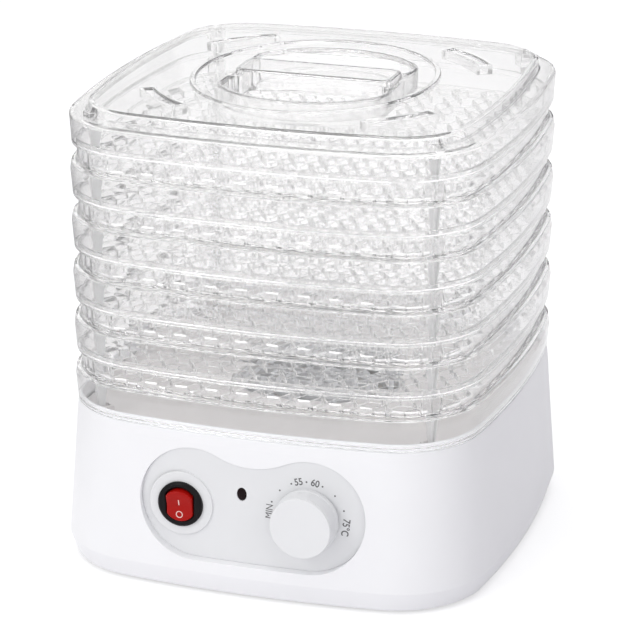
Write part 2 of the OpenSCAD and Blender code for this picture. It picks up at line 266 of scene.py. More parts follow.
def lathe(name, profile, steps):
    """A turned solid about +Z. The profile of (r, z) starts and ends on the axis."""
    return loft(name, [circle(r, z, steps) for r, z in profile[1:-1]])


def tube(name, profile, steps):
    """A turned ring about +Z from a closed profile of (r, z)."""
    return loft(name, [circle(r, z, steps) for r, z in profile], closed=True)


def join(name, objs):
    """One object from several, which go."""
    bm = bmesh.new()
    for obj in objs:
        bm.from_mesh(obj.data)
        drop(obj)
    mesh = bpy.data.meshes.new(name)
    bm.to_mesh(mesh)
    bm.free()
    out = bpy.data.objects.new(name, mesh)
    scene.collection.objects.link(out)
    return out


def drop(obj):
    """Removes an object and its mesh."""
    mesh = obj.data
    bpy.data.objects.remove(obj)
    if not mesh.users:
        bpy.data.meshes.remove(mesh)


def copied(obj, matrix):
    """A copy of obj with its own mesh, moved by matrix."""
    mesh = obj.data.copy()
    mesh.transform(matrix)
    out = bpy.data.objects.new(obj.name, mesh)
    scene.collection.objects.link(out)
    return out


def combine(obj, operation, *others):
    """Adds others to obj or cuts them from it, one after another. The others go."""
    for other in others:
        mod = obj.modifiers.new("combine", "BOOLEAN")
        mod.operation, mod.solver, mod.object = operation, "MANIFOLD", other
        bpy.context.view_layer.update()
        done = obj.evaluated_get(bpy.context.evaluated_depsgraph_get())
        mesh = bpy.data.meshes.new_from_object(done)
        old, name = obj.data, obj.data.name
        obj.modifiers.clear()
        obj.data = mesh
        bpy.data.meshes.remove(old)
        mesh.name = name
        drop(other)
    return obj


def smooth(obj, angle):
    """Smooth shading with hard edges over angle degrees, and flat faces that stay flat."""
    mesh = obj.data
    mesh.shade_smooth()
    mesh.set_sharp_from_angle(angle=math.radians(angle))
    weighted = obj.modifiers.new("flat_faces", "WEIGHTED_NORMAL")
    weighted.keep_sharp = True


def piece(obj, name, body, slot, *nodes, finish=None, angle=32):
    """Finishes a piece: names it, gives it its slot's material, hangs it on the body it rides on
    and hides the CAD nodes it replaces.

    Its material is its slot's, unless finish names another. angle is as in smooth().
    """
    obj.name = obj.data.name = name
    obj.data.materials.clear()
    obj.data.materials.append(look[finish or slot])
    smooth(obj, angle)
    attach(obj, body)
    if nodes:
        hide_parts(*nodes)


def raised(z):
    """A matrix that lifts a mesh by z millimetres."""
    return Matrix.Translation((0, 0, z * MM))


def on_front(x, z, y=-PANEL_HALF):
    """Turns local +Z to face -Y and local +Y to +Z, at (x, z) on the front."""
    return Matrix.Translation(Vector((x, y, z)) * MM) @ Matrix.Rotation(math.pi / 2, 4, "X")


def place(obj, matrix):
    """Moves an object's mesh, and hands the object back."""
    obj.data.transform(matrix)
    return obj


# ---- materials


# every material by its name, filled as they are made
look = {}

# the middle of a noise's values, between which a colour or a number runs
NOISE_LOW = 0.3
NOISE_HIGH = 0.7


class Tree:
    """A node tree, with short ways to add to it."""

    def __init__(self, tree):
        self.tree = tree

    def add(self, kind, **values):
        """A new node with its settings."""
        node = self.tree.nodes.new(kind)
        for key, value in values.items():
            setattr(node, key, value)
        return node

    def link(self, a, b):
        """Joins an output to an input."""
        self.tree.links.new(a, b)

    def math(self, operation, first, second):
        """Two numbers or sockets joined by an arithmetic operation."""
        node = self.add("ShaderNodeMath", operation=operation)
        for value, socket in zip((first, second), node.inputs):
            if isinstance(value, (int, float)):
                socket.default_value = value
            else:
                self.link(value, socket)
        return node.outputs[0]

    def mix(self, first, second, factor):
        """Two colours mixed by a factor."""
        node = self.add("ShaderNodeMix", data_type="RGBA")
        self.link(factor, node.inputs["Factor"])
        for value, key in ((first, "A"), (second, "B")):
            if isinstance(value, tuple):
                node.inputs[key].default_value = (*value, 1)
            else:
                self.link(value, node.inputs[key])
        return node.outputs["Result"]

    def spread(self, fac, low, high, start=NOISE_LOW, end=NOISE_HIGH, curve="LINEAR"):
        """A value that runs from low to high as fac goes from start to end."""
        node = self.add("ShaderNodeMapRange", interpolation_type=curve)
        keys = ("From Min", "From Max", "To Min", "To Max")
        for key, value in zip(keys, (start, end, low, high)):
            node.inputs[key].default_value = value
        self.link(fac, node.inputs["Value"])
        return node.outputs["Result"]


class Material(Tree):
    """A material's node tree, with its Principled shader."""

    def __init__(self, name):
        self.mat = bpy.data.materials.new(name)
        self.mat.use_nodes = True
        super().__init__(self.mat.node_tree)
        self.shader = self.tree.nodes["Principled BSDF"]
        self.out = self.tree.nodes["Material Output"]
        self.coords = self.add("ShaderNodeTexCoord").outputs["Object"]
        look[name] = self.mat

    def set(self, **values):
        """Sets the shader's own sockets, an underscore for each space in their names."""
        for key, value in values.items():
            self.shader.inputs[key.replace("_", " ")].default_value = value

    def noise(self, scale, detail=2.0, roughness=0.5, stretch=None):
        """A noise over the object, scale to the metre, stretched along its axes."""
        node = self.add("ShaderNodeTexNoise")
        node.inputs["Scale"].default_value = scale
        node.inputs["Detail"].default_value = detail
        node.inputs["Roughness"].default_value = roughness
        source = self.coords
        if stretch:
            mapping = self.add("ShaderNodeMapping")
            mapping.inputs["Scale"].default_value = stretch
            self.link(source, mapping.inputs["Vector"])
            source = mapping.outputs["Vector"]
        self.link(source, node.inputs["Vector"])
        return node.outputs["Fac"]

    def ramp(self, fac, low, high, start=NOISE_LOW, end=NOISE_HIGH):
        """A colour that runs from low to high as fac goes from start to end."""
        node = self.add("ShaderNodeValToRGB")
        node.color_ramp.elements[0].position = start
        node.color_ramp.elements[1].position = end
        node.color_ramp.elements[0].color = (*low, 1)
        node.color_ramp.elements[1].color = (*high, 1)
        self.link(fac, node.inputs["Fac"])
        return node.outputs["Color"]

    def bump(self, height, depth, edge=0.0):
        """Relief from height, depth metres deep, over edges rounded by edge metres."""
        node = self.add("ShaderNodeBump")
        node.inputs["Strength"].default_value = 1.0
        node.inputs["Distance"].default_value = depth
        self.link(height, node.inputs["Height"])
        if edge:
            bevel = self.add("ShaderNodeBevel", samples=4)
            bevel.inputs["Radius"].default_value = edge
            self.link(bevel.outputs["Normal"], node.inputs["Normal"])
        self.link(node.outputs["Normal"], self.shader.inputs["Normal"])


def shade(colour, factor):
    """A colour made darker by a factor."""
    return tuple(c * factor for c in colour)


def plastic(name, colour, rough, grain, depth, tint, edge=0.0, **values):
    """Moulded plastic: a fine grain, slow waves in its gloss and a slight mottle."""
    n = Material(name)
    slow = n.noise(35, 3)
    n.link(n.ramp(slow, shade(colour, 1 - tint), colour), n.shader.inputs["Base Color"])
    n.link(n.spread(n.noise(60, 3), rough * 0.93, rough * 1.07), n.shader.inputs["Roughness"])
    n.bump(n.noise(grain, 3), depth, edge)
    n.set(**values)


def metal(name, colour, rough, stretch, edge=0.0004):
    """Metal with a directional finish: stretch sets how its fine lines run."""
    n = Material(name)
    lines = n.noise(400, 4, 0.6, stretch)
    n.link(n.ramp(lines, shade(colour, 0.82), colour), n.shader.inputs["Base Color"])
    n.link(n.spread(lines, rough * 0.7, rough * 1.4), n.shader.inputs["Roughness"])
    n.bump(lines, 6e-6, edge)
    n.set(Metallic=1.0)


CLEAR = (0.995, 0.993, 0.993)
# the grey below is painted shade, given to upright clear walls as they turn edge on
PAINTED_EDGE_SHADE = (0.36, 0.35, 0.355)
LAMP_TINT = (0.93, 0.935, 0.94, 1)


def clear_plastic(name):
    """Clear moulded plastic with faint flow marks.

    Upright walls turn grey where they are seen edge on. That grey is painted shade in the colour,
    standing in for the dark edges clear walls show, and darker than a thicker path through the
    plastic alone makes it. Lamps shine straight through, a little dimmed.
    """
    n = Material(name)
    flow = n.noise(18, 3, 0.5, (1, 1, 3))
    n.link(n.spread(flow, 0.0, 0.012), n.shader.inputs["Roughness"])
    rim = n.add("ShaderNodeLayerWeight")
    rim.inputs["Blend"].default_value = 0.5
    lie = n.add("ShaderNodeNewGeometry")
    parts = n.add("ShaderNodeSeparateXYZ")
    n.link(lie.outputs["Normal"], parts.inputs[0])
    upright = n.math("SUBTRACT", 1, n.math("MULTIPLY", parts.outputs["Z"], parts.outputs["Z"]))
    edge = n.math("MULTIPLY", rim.outputs["Facing"], upright)
    # painted shade: the base colour greys upright walls as they turn edge on
    n.link(n.ramp(edge, CLEAR, PAINTED_EDGE_SHADE, 0.40, 0.98), n.shader.inputs["Base Color"])
    n.bump(n.noise(45, 2), 5e-6)
    n.set(IOR=1.5, Transmission_Weight=0.965)
    path = n.add("ShaderNodeLightPath")
    lamps = n.add("ShaderNodeBsdfTransparent")
    lamps.inputs["Color"].default_value = LAMP_TINT
    mix = n.add("ShaderNodeMixShader")
    n.link(path.outputs["Is Shadow Ray"], mix.inputs["Fac"])
    n.link(n.shader.outputs["BSDF"], mix.inputs[1])
    n.link(lamps.outputs["BSDF"], mix.inputs[2])
    n.link(mix.outputs["Shader"], n.out.inputs["Surface"])


# plastics: colour, roughness, grain to the metre and its depth, mottle, and the width to
# which a CAD part's edges are rounded
plastic("housing_white", (0.90, 0.90, 0.92), 0.34, 1500, 1.5e-6, 0.012, Specular_IOR_Level=0.25)
plastic("deck_grey", (0.735, 0.70, 0.69), 0.34, 1100, 8e-6, 0.05, 0.0005)
plastic("grille_grey", (0.50, 0.50, 0.52), 0.42, 1100, 8e-6, 0.05, 0.0004)
plastic("cover_white", (0.70, 0.70, 0.72), 0.5, 1500, 14e-6, 0.04, 0.0005)
plastic("foot_rubber", (0.035, 0.035, 0.038), 0.75, 2200, 30e-6, 0.3, 0.0006)
plastic("panel_grey", (0.78, 0.785, 0.80), 0.38, 1300, 3e-6, 0.015)
plastic("bezel_black", (0.008, 0.007, 0.008), 0.34, 1600, 6e-6, 0.2, Specular_IOR_Level=0.12)
plastic(
    "rocker_red", (0.40, 0.005, 0.003), 0.3, 900, 4e-6, 0.12,
    Subsurface_Weight=0.15, Subsurface_Scale=0.0015, Specular_IOR_Level=0.15,
)
plastic("lens_dark_red", (0.009, 0.003, 0.004), 0.16, 900, 2e-6, 0.2, Specular_IOR_Level=0.12)
plastic("knob_white", (0.80, 0.805, 0.82), 0.34, 1300, 2e-6, 0.015)
plastic("fan_plastic", (0.03, 0.032, 0.036), 0.45, 1500, 12e-6, 0.2, 0.0004)
plastic("mica_board", (0.42, 0.35, 0.23), 0.55, 260, 40e-6, 0.35, 0.0002)
plastic("cutout_ceramic", (0.60, 0.56, 0.47), 0.5, 1200, 16e-6, 0.08, 0.0004)

# metals: colour, roughness, how the fine lines are stretched, and again the rounded edges
metal("screw_steel", (0.56, 0.57, 0.6), 0.3, (1, 1, 12), 0.0002)
metal("shaft_steel", (0.62, 0.63, 0.65), 0.25, (1, 12, 1))
metal("motor_steel", (0.38, 0.39, 0.41), 0.4, (1, 1, 30))
metal("bracket_steel", (0.52, 0.54, 0.56), 0.4, (6, 1, 1))
metal("thermostat_metal", (0.62, 0.47, 0.24), 0.35, (8, 1, 1))
metal("coil_wire", (0.30, 0.20, 0.13), 0.5, (1, 1, 1))

clear_plastic("tray_clear")
clear_plastic("lid_clear")
plastic(
    "leg_cloudy", (0.985, 0.985, 0.985), 0.3, 300, 8e-6, 0.03,
    Transmission_Weight=0.55, IOR=1.5,
)
plastic("dial_ink", (0.13, 0.13, 0.135), 0.55, 2500, 3e-6, 0.1)
plastic("switch_ink", (0.85, 0.62, 0.58), 0.45, 2500, 3e-6, 0.05)

for row in frame["record"]["subparts"]:
    node = frame["nodes"][row["node"]]
    for slot in node.material_slots:
        slot.material = look[row["material_slot"]]


# ---- the trays

# how far out on the diagonals the posts stand, sunk a little into the neck's corners
POST_AT = max(p.length for p in stack_outline(NECK_INSET + WALL)) - POST_L / 2 + POST_BITE


def box(name, sizes, radius, cap=0.0):
    """A drafted box along +Z, its upright edges rounded. Each size is (half_x, half_y, z).

    cap is the chamfer round its top.
    """
    rings = []
    for half_x, half_y, z in sizes:
        x, y = half_x, half_y
        corners = [(-x, -y, radius), (x, -y, radius), (x, y, radius), (-x, y, radius)]
        rings.append(ring_at(rounded(corners, steps=2), z))
    if cap:
        rings[-1] = [(x, y, z - cap) for x, y, _ in rings[-1]]
        k = 1 - cap / min(half_x, half_y)
        rings.append([(x * k, y * k, z) for x, y, _ in rings[-1]])
    return loft(name, rings)


def at_corners(obj):
    """Four copies of obj on the diagonals, in one object, its +X pointing outwards."""
    copies = []
    for k in range(4):
        turn = Matrix.Rotation(math.pi / 4 + math.pi / 2 * k, 4, "Z")
        copies.append(copied(obj, turn @ Matrix.Translation((POST_AT * MM, 0, 0))))
    drop(obj)
    return join("corners", copies)


def legs_mesh(top):
    """Four tapered legs, each an H in section, that plug into the posts below."""
    tip_l, tip_w = LEG_TIP_L / 2, LEG_TIP_W / 2
    body = box(
        "leg",
        [
            (tip_l - 0.4, tip_w - 0.3, -LEG_TIP_DROP),
            (tip_l - 0.1, tip_w - 0.1, -LEG_TIP_DROP + 0.5),
            (tip_l, tip_w, -SOCKET_DROP),
            (LEG_L / 2, LEG_W / 2, top),
        ],
        0.4,
    )
    groove = box("groove", [(LEG_L / 2, 0.5, -LEG_TIP_DROP + 1.4), (LEG_L / 2, 1.7, top - 1)], 0.3)
    aside = (LEG_L / 2 + LEG_WEB) * MM
    outer, inner = (copied(groove, Matrix.Translation((x, 0, 0))) for x in (aside, -aside))
    drop(groove)
    return at_corners(combine(body, "DIFFERENCE", outer, inner))


def shrunk(corners, inset):
    """A convex outline, anticlockwise, with every side moved in by inset."""
    moved = []
    for i in range(len(corners)):
        before, here, after = (Vector(corners[(i + k) % len(corners)]) for k in (-1, 0, 1))
        u, v = (here - before).normalized(), (after - here).normalized()
        n, m = Vector((-u.y, u.x)), Vector((-v.y, v.x))
        moved.append(here + (n + m) * inset / (1 + n.dot(m)))
    return moved


def cell(name, corners):
    """The hollow of one cell of the floor, whose walls have eased tops."""
    half = CELL_WALL / 2
    sizes = (
        (half + 0.1, FLOOR_Z - 1),
        (half, FLOOR_TOP - 0.35),
        (half - 0.28, FLOOR_TOP),
        (half - 0.28, FLOOR_TOP + 1),
    )
    plans = [rounded([(*p, 0.5) for p in shrunk(corners, inset)], steps=2) for inset, _ in sizes]
    return loft(name, [ring_at(plan, z) for plan, (_, z) in zip(plans, sizes)])


def lattice():
    """A tray's floor: upright walls round six-sided cells, with lozenges between them."""
    half, tip = CELL_PITCH / 2, CELL_FLAT / 2
    right = [(tip, -half), (half, 0), (tip, half)]
    six = cell("six", right + [(-x, -y) for x, y in right])
    lozenge = cell("lozenge", [(0, -half), (half - tip, 0), (0, half), (tip - half, 0)])
    first = -half * CELLS
    hollows = []
    for shape, start, count in ((six, first + half, CELLS), (lozenge, first, CELLS + 1)):
        spots = [(start + k * CELL_PITCH) * MM for k in range(count)]
        hollows += [copied(shape, Matrix.Translation((x, y, 0))) for x in spots for y in spots]
    drop(six)
    drop(lozenge)
    field = stack_outline(CELLS_INSET)
    edge = loft("edge", [ring_at(field, z) for z in (FLOOR_Z - 1.2, FLOOR_TOP + 1.2)])
    hollows = combine(join("hollows", hollows), "INTERSECT", edge)
    floor = loft("floor", [ring_at(stack_outline(FLOOR_INSET), z) for z in (FLOOR_Z, FLOOR_TOP)])
    return combine(floor, "DIFFERENCE", hollows)


def tray_mesh():
    """One tray about its own datum, the top of the neck below it."""
    wall_path = rounded(
        [
            (1.1, -LAP, 0.4),
            (0, FLOOR_RISE - 6, 9),
            (0.9, FLOOR_RISE - 0.8, 1.8),
            (NECK_INSET, FLOOR_RISE, 0.9),
            (NECK_INSET, PITCH, 0.8),
            (NECK_INSET + WALL, PITCH, 0.8),
            (NECK_INSET + WALL, FLOOR_Z - 0.6, 0.5),
            (NECK_INSET + 0.2, FLOOR_Z - 0.6, 0.5),
            (NECK_INSET, FLOOR_RISE - WALL - 0.4, 0.6),
            (WALL + 0.9, FLOOR_RISE - WALL - 0.8, 1.5),
            (WALL, FLOOR_RISE - 7, 7),
            (WALL, 2.4 - LAP, 0.8),
            (WALL + BEAD, 1.3 - LAP, 0.4),
            (WALL + BEAD, -LAP, 0.4),
        ]
    )
    tray = loft("tray", [ring_at(stack_outline(p.x), p.y) for p in wall_path], closed=True)
    top = PITCH - SOCKET_DROP
    post_sizes = [(POST_L / 2, POST_W / 2, POST_FOOT), (POST_L / 2, POST_W / 2 - 0.15, top)]
    posts = at_corners(box("post", post_sizes, 0.9, 0.3))
    pockets = at_corners(
        box(
            "pocket",
            [
                (POST_L / 2 - POST_WALL - 0.2, POST_W / 2 - POST_WALL - 0.2, FLOOR_Z + 1.4),
                (POST_L / 2 - POST_WALL, POST_W / 2 - POST_WALL, top + 1),
            ],
            0.6,
        )
    )
    combine(tray, "UNION", lattice(), posts)
    return combine(tray, "DIFFERENCE", pockets)


def hang_legs(body, slot, datum, top):
    """The legs under one level, a piece of their own because their thick plastic looks cloudy.

    They end a hair below what they hang from, top, so that no two clear solids overlap.
    """
    legs = place(legs_mesh(top - HAIR), raised(datum))
    piece(legs, f"{body}_legs", body, slot, finish="leg_cloudy")


tray = tray_mesh()
for k in range(TRAYS):
    body, datum = f"tray_{k + 1}", BASE_H + k * PITCH
    level = copied(tray, raised(datum))
    piece(level, f"{body}_moulding", body, "tray_clear", f"{body}_wall", f"{body}_floor")
    hang_legs(body, "tray_clear", datum, POST_FOOT)
drop(tray)


# ---- the lid


def grip_arc(grow, skip):
    """The well area's +Y half, set out by grow: its corner's x and y, and its arc's points.

    The area is a disc with flat ends. The arc leaves out the first points at either end, up to
    skip.
    """
    half, r = GRIP_HALF_L + grow, GRIP_R + grow
    steps = 24
    reach = math.asin(half / r)
    turns = (reach * (1 - 2 * k / steps) for k in range(skip, steps + 1 - skip))
    return half, math.sqrt(r**2 - half**2), [(r * math.sin(a), r * math.cos(a), 0) for a in turns]


def grip_outline(grow):
    """The plan of the well area, both wells and the grip bar between them."""
    half, corner, arc = grip_arc(grow, 1)
    upper = [(half, corner, 10), *arc, (-half, corner, 10)]
    lower = [(-x, -y, c) for x, y, c in upper]
    return rounded(upper + lower)


def well_outline(grow):
    """The plan of one half-moon finger well, beyond the grip bar on the +Y side."""
    half, corner, arc = grip_arc(grow, 4)
    near, round_r = GRIP_HALF_W - max(grow - 1.4, 0), 7 + grow
    far = [(half, corner, 20), *arc, (-half, corner, 20)]
    return rounded([(half, near, round_r), *far, (-half, near, round_r)], steps=8)


def well_pair(name, sizes):
    """A solid at each finger well. Each size is (how far outside the well, height over the lid)."""
    rings = [ring_at(well_outline(grow), LID_TOP + rise) for grow, rise in sizes]
    return [place(loft(name, rings), Matrix.Rotation(math.pi * k, 4, "Z")) for k in range(2)]


def wedge(name, r0, r1, turn, z0, z1, cap=0.0):
    """A curved block about the axis, from radius r0 to r1 and turn either side of +X.

    With a cap it flares by that much up to z1, and goes on for 1 mm above.
    """
    steps = 16
    angles = [turn * (2 * k / steps - 1) for k in range(steps + 1)]

    def plan(grow):
        extra = grow / r1
        wide = [a * (1 + extra / turn) for a in angles]
        outer = [((r1 + grow) * math.cos(a), (r1 + grow) * math.sin(a)) for a in wide]
        inner = [((r0 - grow) * math.cos(a), (r0 - grow) * math.sin(a)) for a in reversed(wide)]
        return outer + inner

    rings = [ring_at(plan(0), z0), ring_at(plan(0), z1 - cap)]
    if cap:
        rings.append(ring_at(plan(cap), z1))
        rings.append(ring_at(plan(cap), z1 + 1))
    return loft(name, rings)


def lid_mesh():
    """The lid about its datum, the top of the topmost neck."""
    outer_path = rounded(
        [
            (1.1, -LAP, 0.4),
            (0, LID_LEDGE, 2.4),
            (STEP_INSET - 0.3, LID_LEDGE, 1.4),
            (STEP_INSET + 1.2, LID_TOP, 2.0),
            (20, LID_TOP, 0),
        ],
        closed=False,
    )
    inner_path = rounded(
        [
            (WALL + BEAD, -LAP - 1, 0),
            (WALL + BEAD, 1.3 - LAP, 0.4),
            (WALL + 0.2, 2.4 - LAP, 0.8),
            (WALL, LID_LEDGE - WALL, 1.4),
            (STEP_INSET + 1.5, LID_LEDGE - WALL, 1.2),
            (STEP_INSET + 3, LID_TOP - WALL, 1.4),
            (22, LID_TOP - WALL, 0),
        ],
        closed=False,
    )
    lid = loft("lid", [ring_at(stack_outline(p.x), p.y) for p in outer_path])
    hollow = loft("hollow", [ring_at(stack_outline(p.x), p.y) for p in inner_path])
    combine(lid, "DIFFERENCE", hollow)

    bowl_sizes = ((1, WELL_Z - WALL), (1.6, WELL_Z - WALL + 0.6), (2, LID_TOP - 1))
    bowl = loft("bowl", [ring_at(grip_outline(grow), z) for grow, z in bowl_sizes])
    bar = box(
        "bar",
        [
            (GRIP_HALF_L + 1, GRIP_HALF_W + 0.4, WELL_Z - WALL),
            (GRIP_HALF_L, GRIP_HALF_W, LID_TOP),
            (GRIP_HALF_L - 0.3, GRIP_HALF_W - 0.2, GRIP_TOP - 1.2),
            (GRIP_HALF_L - 0.8, GRIP_HALF_W - 0.7, GRIP_TOP - 0.4),
            (GRIP_HALF_L - 1.8, GRIP_HALF_W - 1.6, GRIP_TOP),
        ],
        5,
    )
    ring = tube(
        "ring",
        rounded(
            [
                (RING_R - 3.4, LID_TOP - 0.5, 0),
                (RING_R - 3, LID_TOP + 1.4, 0.5),
                (RING_R - 0.2, LID_TOP + 1.4, 0.5),
                (RING_R + 0.2, LID_TOP - 0.5, 0),
            ]
        ),
        160,
    )
    oval = Matrix.Diagonal((1, RING_STRETCH, 1, 1))
    place(ring, Matrix.Translation((RING_SHIFT * MM, 0, 0)) @ oval)
    rims = well_pair("rim", ((2.8, -0.9), (2.7, 0.4), (2.2, 0.95), (1.6, 1.1)))
    vent_walls = []
    vent_slots = []
    for k in range(4):
        turn = Matrix.Rotation(math.pi / 4 + math.pi / 2 * k, 4, "Z")
        r0, r1 = VENT_R, VENT_R + VENT_W
        wall = wedge("vent", r0 - 2, r1 + 2, VENT_TURN + 0.025, LID_TOP - 7, LID_TOP - 0.6)
        slot = wedge("slot", r0, r1, VENT_TURN, LID_TOP - 9, LID_TOP + 0.02, 0.6)
        vent_walls.append(place(wall, turn))
        vent_slots.append(place(slot, turn))
    pad_sizes = [
        (POST_L / 2, POST_W / 2, PAD_FOOT),
        (POST_L / 2, POST_W / 2 - 0.1, LID_LEDGE + 2.5),
    ]
    pads = at_corners(box("pad", pad_sizes, 0.9, 0.3))
    pockets = at_corners(
        box(
            "pocket",
            [
                (POST_L / 2 - POST_WALL, POST_W / 2 - POST_WALL - 0.2, LID_LEDGE - 2.5),
                (POST_L / 2 - POST_WALL + 0.1, POST_W / 2 - POST_WALL, LID_LEDGE + 3.5),
            ],
            0.6,
        )
    )
    combine(lid, "UNION", bowl, bar, ring, *rims, join("vents", vent_walls), pads)

    foot = WELL_Z - LID_TOP
    wells = well_pair(
        "well",
        (
            (-2.2, foot),
            (-0.9, foot + 0.5),
            (-0.3, foot + 1.6),
            (0, -1),
            (0.3, 0.3),
            (0.8, 0.9),
            (1.3, 1.12),
            (1.4, GRIP_TOP - LID_TOP + 2),
        ),
    )
    under_bar = box(
        "under_bar",
        [
            (GRIP_HALF_L - 1, GRIP_HALF_W - WALL + 0.3, WELL_Z - WALL - 1),
            (GRIP_HALF_L - WALL, GRIP_HALF_W - WALL, LID_TOP),
            (GRIP_HALF_L - WALL - 0.6, GRIP_HALF_W - WALL - 0.5, GRIP_TOP - WALL),
        ],
        3.5,
    )
    return combine(lid, "DIFFERENCE", *wells, under_bar, join("slots", vent_slots), pockets)


lid = place(lid_mesh(), raised(LID_Z))
piece(lid, "lid_moulding", "lid", "lid_clear", "lid_rim", "lid_top", "lid_grip")
hang_legs("lid", "lid_clear", LID_Z, PAD_FOOT)


# ---- the base and its panel


def wall_half(z):
    """Half width of the base's outer wall at height z, between its chamfer and its shoulder."""
    low, high = (BASE_HALF, CHAMFER_Z), (WALL_TOP_HALF, WALL_TOP_Z)
    return low[0] + (high[0] - low[0]) * (z - low[1]) / (high[1] - low[1])


def wall_surface(x, z):
    """Where the base's front wall lies."""
    half = wall_half(z)
    return front_y(half, base_corner(half), x)


def panel_outline(grow):
    """The panel's peanut outline, set out by grow, as (x, z)."""
    half = PANEL_SPAN / 2
    dip_z = math.sqrt((PANEL_R + DIP_R) ** 2 - half**2)
    tangent = math.atan2(dip_z, half)
    points = []
    steps, dip_steps, foot_steps = 40, 12, 10
    for k in range(steps + 1):
        a = math.pi * 1.5 - (math.pi * 1.5 - tangent) * k / steps
        points.append((-half + (PANEL_R + grow) * math.cos(a), (PANEL_R + grow) * math.sin(a)))
    for k in range(1, dip_steps):
        a = math.pi + tangent + (math.pi - 2 * tangent) * k / dip_steps
        points.append(((DIP_R - grow) * math.cos(a), dip_z + (DIP_R - grow) * math.sin(a)))
    points += [(-x, z) for x, z in reversed(points[: steps + 1])]
    for k in range(1, foot_steps):
        points.append((half - PANEL_SPAN * k / foot_steps, -PANEL_R - grow))
    return [(PANEL_X + x, PANEL_Z + z) for x, z in points]


def panel_tool(name, surface, grow, lip, radius, back, front):
    """A prism of the panel's outline whose edge is rounded where it meets a surface.

    surface gives y from (x, z), lip is 1 to flare outwards there and -1 to close in.
    """
    rings = [[(x, back, z) for x, z in panel_outline(grow)]]
    steps = 5
    for k in range(steps + 1):
        a = math.radians(82) * k / steps
        out = grow + lip * radius * (1 - math.cos(a))
        deep = radius * (1 - math.sin(a))
        rings.append([(x, surface(x, z) + deep, z) for x, z in panel_outline(out)])
    rings.append([(x, front, z) for x, z in panel_outline(out)])
    return loft(name, rings)


def base_shell():
    """The base's outer moulding, open below and above, thickened round the panel's mouth."""
    corners = [
        (BASE_FOOT_HALF, MOULD_BOTTOM, 0.8),
        (BASE_HALF, CHAMFER_Z, 3.5),
        (WALL_TOP_HALF, WALL_TOP_Z, 2),
        (STACK_HALF - 1.4, SHOULDER_Z, 0.8),
        (COLLAR_HALF, SHOULDER_Z, 0.3),
        (COLLAR_HALF, BASE_H, 0.7),
        (COLLAR_INNER_HALF, BASE_H, 0.7),
        (COLLAR_INNER_HALF, SHOULDER_Z - BASE_WALL, 0.8),
        (STACK_HALF - 1 - BASE_WALL, SHOULDER_Z - BASE_WALL - 4, 0.8),
        (BASE_HALF - BASE_WALL, CHAMFER_Z + 1, 1.5),
        (BASE_FOOT_HALF - BASE_WALL - 0.5, MOULD_BOTTOM, 0.6),
    ]
    path = rounded(corners, steps=6)
    rings = [ring_at(outline(p.x, base_corner(p.x), 28), p.y) for p in path]
    shell = loft("base", rings, closed=True)
    mouth = panel_tool(
        "mouth", wall_surface, grow=MOUTH_GAP, lip=1, radius=0.5, back=-112, front=-134
    )
    rim = panel_outline(BACKING_GROW)
    behind = [(x, -117, z) for x, z in rim]
    before = [(x, wall_surface(x, z) + 1.2, z) for x, z in rim]
    backing = loft("backing", [behind, before])
    gland_profile = [
        (0, -10), (GLAND_R, -10), (GLAND_R, 0), (GLAND_SEAT_R, 0), (GLAND_SEAT_R, 12), (0, 12),
    ]
    at_gland = Matrix.Translation(Vector((0, GLAND_Y, GLAND_Z)) * MM)
    backwards = Matrix.Rotation(-math.pi / 2, 4, "X")
    gland_hole = place(lathe("gland_hole", gland_profile, 64), at_gland @ backwards)
    combine(shell, "UNION", backing)
    return combine(shell, "DIFFERENCE", mouth, gland_hole)


def panel_surface(x, z):
    """Where the panel's face lies. It is bowed like the wall, and upright."""
    return front_y(PANEL_HALF, CORNER_R, x)


def panel_mesh():
    """The panel: a bowed plate with a rounded edge, a raised seat for each control."""
    steps, reach = 60, 72
    across = [reach * (2 * k / steps - 1) for k in range(steps + 1)]
    front = [(x, panel_surface(x, 0)) for x in across]
    back = [(x, y + PANEL_T) for x, y in reversed(front)]
    plate = loft("plate", [ring_at(front + back, z) for z in (10, 95)])
    edge = panel_tool("edge", panel_surface, grow=0.01, lip=-1, radius=0.35, back=-100, front=-134)
    panel = combine(plate, "INTERSECT", edge)
    r, h = SWITCH_SEAT_R, SWITCH_SEAT_H
    eased = rounded([(r + 0.1, -1, 0), (r, h, 0.6), (14, h, 0)], closed=False)
    seats = [(SWITCH, [(0, -1), (r, -1), *eased, (0, h)])]
    r, h = KNOB_SEAT_R, KNOB_SEAT_H
    seats.append((KNOB, [(0, -1), (r, -1), (r, h), (0, h)]))
    for spot, profile in seats:
        combine(panel, "UNION", place(lathe("seat", profile, 128), on_front(*spot)))
    upright = Matrix.Identity(4)
    for spot, r, shape in ((SWITCH, 11.6, upright), (LED, 3.3, LENS_SHAPE), (KNOB, 3.4, upright)):
        cut = lathe("cut", [(0, -10), (r, -10), (r, 10), (0, 10)], 64)
        combine(panel, "DIFFERENCE", place(cut, on_front(*spot) @ shape))
    return panel


piece(base_shell(), "base_shell", "base", "housing_white", "base_housing")
piece(panel_mesh(), "front_panel", "base", "panel_grey", "control_panel")


# ---- the switch, the lamp and the knob


def rocker_plan(grow):
    """The rocker's plan set out by grow: a disc cut flat at either side, its corners rounded."""
    radius, half, corner = ROCKER_R + grow, ROCKER_W / 2 + grow, 1.2
    steps = 20
    reach = math.acos(half / radius)
    arc = [
        (radius * math.cos(a), radius * math.sin(a), 0)
        for a in (reach + (math.pi - 2 * reach) * k / steps for k in range(1, steps))
    ]
    high = math.sqrt(radius**2 - half**2)
    upper = [(half, high, corner), *arc, (-half, high, corner)]
    side = [(-half, 0, 0)]
    lower = [(-x, -y, c) for x, y, c in upper]
    return rounded(upper + side + lower + [(half, 0, 0)], steps=3)


